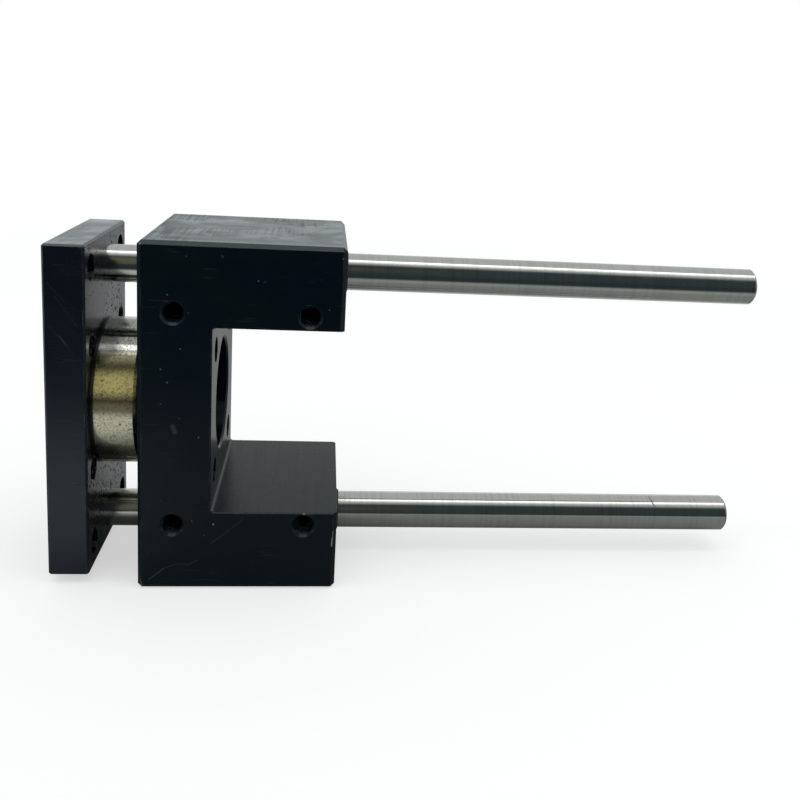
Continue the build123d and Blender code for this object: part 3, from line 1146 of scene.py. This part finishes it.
@dataclass
class Studio:
    """Pale floor, plain soft light, and the surroundings that the bright metal mirrors."""

    floor_side: float = 6.0
    floor_colour: Colour = (0.80, 0.80, 0.80)
    seen_colour: Colour = (0.55, 0.55, 0.55)
    seen_lift: float = 0.54
    even_from: Span = (0.30, 0.75)
    near_mirrored: Colour = (0.30, 0.315, 0.295)
    fore_mirrored: Colour = (0.40, 0.415, 0.39)
    far_mirrored: Colour = (0.62, 0.63, 0.62)
    side_mirrored: Colour = (0.74, 0.75, 0.73)
    fore_edge: Span = (-0.05, -0.09)
    front_edge: Span = (-0.09, -0.185)
    back_edge: Span = (0.025, 0.07)
    side_edge: Span = (0.0, -0.04)
    side_fore_edge: Span = (-0.015, -0.06)
    side_back_edge: Span = (0.0, 0.03)
    pale: Colour = (0.57, 0.59, 0.58)
    skyline: Colour = (0.84, 0.92, 0.92)
    skyline_from: Span = (0.34, 0.14)
    dark: Colour = (0.034, 0.046, 0.049)
    ambient: Colour = (0.71, 0.73, 0.74)
    dark_from: Span = (0.35, 0.66)
    warm: Colour = (0.13, 0.125, 0.085)
    warm_towards: Triple = (-0.34, -0.84, 0.42)
    warm_from: Span = (0.90, 0.97)
    lamps: tuple[Softbox, ...] = (
        Softbox("overhead_softbox", (0.05, -0.09, 0.85), (0.05, 0.0, 0.0), (1.5, 0.15), 1.35),
        Softbox("warm_edge_softbox", (0.05, -0.235, 0.81), (0.05, 0.0, 0.0), (1.5, 0.07), 0.25, (1.0, 0.97, 0.78)),
    )

    @staticmethod
    def seen(graph: Graph, path: Any) -> Socket:
        """Masks the camera and transmission rays, which see the background plainly."""
        return graph.most(path.outputs["Is Camera Ray"], path.outputs["Is Transmission Ray"])

    def floor(self) -> None:
        """Lays the floor under the housing, white to the camera apart from the shadow."""
        low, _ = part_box("housing")
        half = self.floor_side / 2
        mesh = bpy.data.meshes.new("floor")
        corners = [(-half, -half, low.z), (half, -half, low.z), (half, half, low.z), (-half, half, low.z)]
        mesh.from_pydata(corners, [], [(0, 1, 2, 3)])
        material = bpy.data.materials.new("floor")
        material.use_nodes = True
        graph = Graph(material.node_tree)
        graph.tree.nodes.clear()
        path = graph.add("ShaderNodeLightPath")
        seen = self.seen(graph, path)
        place = graph.place()
        side, depth, _ = graph.add("ShaderNodeSeparateXYZ", {0: place}).outputs
        mirrored = graph.blend(graph.step(depth, *self.back_edge), self.near_mirrored, self.far_mirrored)
        mirrored = graph.blend(graph.step(depth, *self.fore_edge), mirrored, self.fore_mirrored)
        around = graph.most(graph.step(depth, *self.side_fore_edge), graph.step(depth, *self.side_back_edge))
        beside = graph.times(graph.step(side, *self.side_edge), around)
        mirrored = graph.blend(beside, mirrored, self.side_mirrored)
        mirrored = graph.blend(graph.step(depth, *self.front_edge), mirrored, self.dark)
        colour = graph.blend(path.outputs["Is Glossy Ray"], self.floor_colour, mirrored)
        even = graph.step(graph.vector("LENGTH", place), *self.even_from)
        shown = graph.blend(even, self.seen_colour, BLACK)
        diffuse = graph.add("ShaderNodeBsdfDiffuse", {"Color": graph.blend(seen, colour, shown)})
        lift = graph.total(self.seen_lift, (even, 1.0 - self.seen_lift))
        glow = graph.add("ShaderNodeEmission", {"Color": WHITE, "Strength": graph.times(seen, lift)})
        both = graph.add("ShaderNodeAddShader", {0: diffuse.outputs[0], 1: glow.outputs[0]})
        graph.add("ShaderNodeOutputMaterial", {"Surface": both.outputs[0]})
        mesh.materials.append(material)
        floor = bpy.data.objects.new("floor", mesh)
        bpy.context.scene.collection.objects.link(floor)

    def world(self) -> None:
        """Surrounds the object: white to the camera, pale behind and dark in front to the metal."""
        world = bpy.data.worlds.new("studio")
        world.use_nodes = True
        graph = Graph(world.node_tree)
        graph.tree.nodes.clear()
        path = graph.add("ShaderNodeLightPath")
        direction = graph.add("ShaderNodeTexCoord").outputs["Generated"]
        frontward = graph.vector("DOT_PRODUCT", direction, TOWARDS_VIEWER)
        rise = graph.axis(direction, 2)
        mirrored = graph.blend(graph.step(rise, *self.skyline_from), self.pale, self.skyline)
        mirrored = graph.blend(graph.step(frontward, *self.dark_from), mirrored, self.dark)
        towards = Vector(self.warm_towards).normalized()
        warm = graph.step(graph.vector("DOT_PRODUCT", direction, towards), *self.warm_from)
        mirrored = graph.blend(warm, mirrored, self.warm)
        colour = graph.blend(path.outputs["Is Glossy Ray"], self.ambient, mirrored)
        colour = graph.blend(self.seen(graph, path), colour, WHITE)
        background = graph.add("ShaderNodeBackground", {"Color": colour, "Strength": 1.0})
        graph.add("ShaderNodeOutputWorld", {"Surface": background.outputs[0]})
        bpy.context.scene.world = world

    def build(self) -> None:
        """Sets up floor, surroundings, lamps and plain colours."""
        self.floor()
        self.world()
        for lamp in self.lamps:
            lamp.build()
        bpy.context.scene.view_settings.view_transform = "Standard"


@dataclass(frozen=True)
class PhotoCamera:
    """The camera, from where the photograph was taken."""

    place: Triple = (25.66, -242.46, 80.89)
    forward: Triple = (0.1096, 0.9743, -0.1967)
    roll_deg: float = 3.38
    focal_px: float = 909.1
    centre_px: Span = (421.0, 283.6)
    clip: Span = (0.01, 20.0)

    def build(self) -> bpy.types.Object:
        """Adds the camera.

        Returns:
            The camera.
        """
        data = bpy.data.cameras.new("camera")
        data.sensor_width = SENSOR
        data.lens = self.focal_px / PHOTO_SIDE * SENSOR
        data.shift_x = (PHOTO_SIDE / 2 - self.centre_px[0]) / PHOTO_SIDE
        data.shift_y = (self.centre_px[1] - PHOTO_SIDE / 2) / PHOTO_SIDE
        data.clip_start, data.clip_end = self.clip
        camera = bpy.data.objects.new("camera", data)
        camera.location = Vector(self.place) * MM
        camera.rotation_mode = "QUATERNION"
        level = Vector(self.forward).to_track_quat("-Z", "Y")
        camera.rotation_quaternion = level @ Quaternion(UP, math.radians(self.roll_deg))
        bpy.context.scene.collection.objects.link(camera)
        bpy.context.scene.camera = camera
        return camera


HOUSING_BLACK = Anodised(
    name="housing_black", base=(0.0001, 0.0040, 0.0092), roughness=0.29, tint=(0.0006, 0.0052, 0.0082),
    specular=0.24, dust=Specks(650.0, 0.20, 0.07, 0.5), marks=(
        Mark((-15.2, -25.0, -42.6), (-11.4, -25.0, -39.4), 0.12, 0.22),
        Mark((-11.4, -25.0, -39.4), (-8.4, -25.0, -38.2), 0.10, 0.16),
        Mark((-8.4, -25.0, -38.2), (-5.0, -25.0, -38.2), 0.10, 0.12),
        Mark((-5.0, -25.0, -38.2), (-3.0, -25.0, -37.0), 0.12, 0.14),
        Mark((0.3, -25.0, -32.4), (4.6, -25.0, -28.9), 0.10, 0.14),
        Mark((4.6, -25.0, -28.9), (8.2, -25.0, -25.9), 0.10, 0.14),
        Mark((-17.3, -24.9, 44.2), (-17.2, -24.8, 44.3), 0.45, 0.9),
        Mark((23.5, -25.0, -24.2), (23.7, -24.9, -24.0), 0.30, 0.9),
        Mark((23.0, -25.0, -25.6), (23.9, -25.0, -24.3), 0.14, 0.4),
        Mark((0.8, -25.0, -27.2), (0.9, -25.0, -27.2), 0.26, 0.8),
        Mark((31.15, -24.85, -29.0), (31.1, -24.9, -30.6), 0.18, 0.6),
        Mark((31.0, -24.95, -30.8), (30.95, -25.0, -33.0), 0.24, 0.9),
        Mark((-9.3, -25.0, -1.2), (-8.8, -25.0, -2.7), 0.80, 0.11),
        Mark((-6.4, -25.0, 41.6), (-6.3, -25.0, 41.5), 0.14, 0.35),
        Mark((2.0, -25.0, 42.0), (2.3, -25.0, 41.6), 0.16, 0.24),
        Mark((12.0, -25.0, 35.7), (12.5, -25.0, 36.1), 0.16, 0.12),
        Mark((-5.8, -25.0, 27.7), (-5.7, -25.0, 27.6), 0.15, 0.35),
        Mark((28.0, -25.0, 29.6), (28.1, -25.0, 29.5), 0.15, 0.40),
        Mark((-17.4, -24.9, -42.5), (-16.8, -24.9, -44.0), 0.40, 0.25),
        Mark((19.2, 10.8, 45.0), (20.8, 7.0, 45.0), 0.30, 0.8),
        Mark((-8.2, 4.0, 45.0), (-6.0, 7.5, 45.0), 0.30, 0.8),
        Mark((1.2, -3.0, 45.0), (2.0, -1.0, 45.0), 0.35, 0.9),
        Mark((23.0, -2.0, 45.0), (27.0, 6.0, 45.0), 0.25, 0.8),
    ))
PLATE_BLACK = Anodised(
    name="plate_black", base=(0.0012, 0.0030, 0.0085), roughness=0.27, tint=(0.0024, 0.0038, 0.0100),
    specular=0.66, specular_tint=(0.78, 0.88, 1.0), dust=Specks(650.0, 0.20, 0.03, 0.5),
    pits=Specks(1400.0, 0.85, 0.30), mill=Layer(gloss=0.04, height=0.3), scratch=Layer(colour=0.04, height=-0.9),
    edge=Layer(colour=0.5), hatch=Layer(colour=0.30, gloss=0.13, height=-0.35), hatch_turn=(0.0, 0.0, 0.9),
    band=(-60.0 * MM, -61.0 * MM), marks=(
        Mark((-38.9, -22.5, 22.6), (-33.4, -22.5, 16.0), 0.10, 0.06),
        Mark((-37.4, -22.5, 30.0), (-32.4, -22.5, 22.8), 0.10, 0.06),
        Mark((-39.2, -22.5, 33.4), (-35.0, -22.5, 28.6), 0.10, 0.05),
        Mark((-36.6, -22.5, 20.4), (-35.0, -22.5, 18.2), 0.16, 0.12),
    ))
ROD_UPPER = GroundSteel(name="rod_steel_upper", base=(0.62, 0.63, 0.61), roughness=0.15)
ROD_LOWER = GroundSteel(
    name="rod_steel_lower", base=(0.60, 0.605, 0.58), roughness=0.15, marks=(
        Mark((124.2, -0.2, -29.5), (124.1, -1.3, -29.7), 0.16, 0.7),
        Mark((124.1, -1.3, -29.7), (124.4, -2.35, -30.1), 0.20, 0.8),
        Mark((124.4, -2.35, -30.1), (124.7, -3.3, -30.75), 0.20, 0.8),
        Mark((124.7, -3.3, -30.75), (125.1, -4.05, -31.6), 0.16, 0.7),
    ))
COVER_STEEL = TurnedSteel(name="cover_steel", base=(0.46, 0.46, 0.43), roughness=0.13)
NUT_STEEL = TurnedSteel(
    name="nut_steel", base=(0.42, 0.41, 0.39), roughness=0.34, patch=(0.42, 0.40, 0.34), reflection_fringe=(0.40, 0.39, 0.35),
    lower=(0.42, 0.41, 0.39), warm_reflection_film=0.1)
HARD_STEEL = PlainMetal(
    name="hard_steel", base=(0.34, 0.34, 0.35), roughness=0.25, other=(0.42, 0.42, 0.42))
OXIDE_STEEL = PlainMetal(
    name="oxide_steel", base=(0.030, 0.030, 0.033), roughness=0.42, other=(0.055, 0.053, 0.050), metallic=0.6)
SPRING_STEEL = PlainMetal(
    name="spring_ring_steel", base=(0.13, 0.13, 0.14), roughness=0.40, other=(0.18, 0.18, 0.18))
BUSH_BRONZE = PlainMetal(
    name="bush_bronze", base=(0.50, 0.33, 0.15), roughness=0.30, other=(0.58, 0.40, 0.20),
    stretch=(5000.0, 200.0, 200.0))
WIPER_RUBBER = Rubber(name="wiper_black", base=(0.009, 0.011, 0.013), roughness=0.55)


def main() -> None:
    """Builds the object's looks and the studio."""
    logging.basicConfig(level=logging.INFO, format="%(name)s: %(message)s")
    PhotoCamera().build()
    shop = Shop(EffectLibrary())
    HousingUnit(shop, HOUSING_BLACK).build()
    BoreEnds(shop, BUSH_BRONZE, SPRING_STEEL, WIPER_RUBBER).build()
    Carriage(shop, PLATE_BLACK, {Level.UPPER: ROD_UPPER, Level.LOWER: ROD_LOWER}, OXIDE_STEEL).build()
    Coupling(shop, COVER_STEEL, NUT_STEEL, HARD_STEEL, OXIDE_STEEL).build()
    Studio().build()


if __name__ == "__main__":
    main()
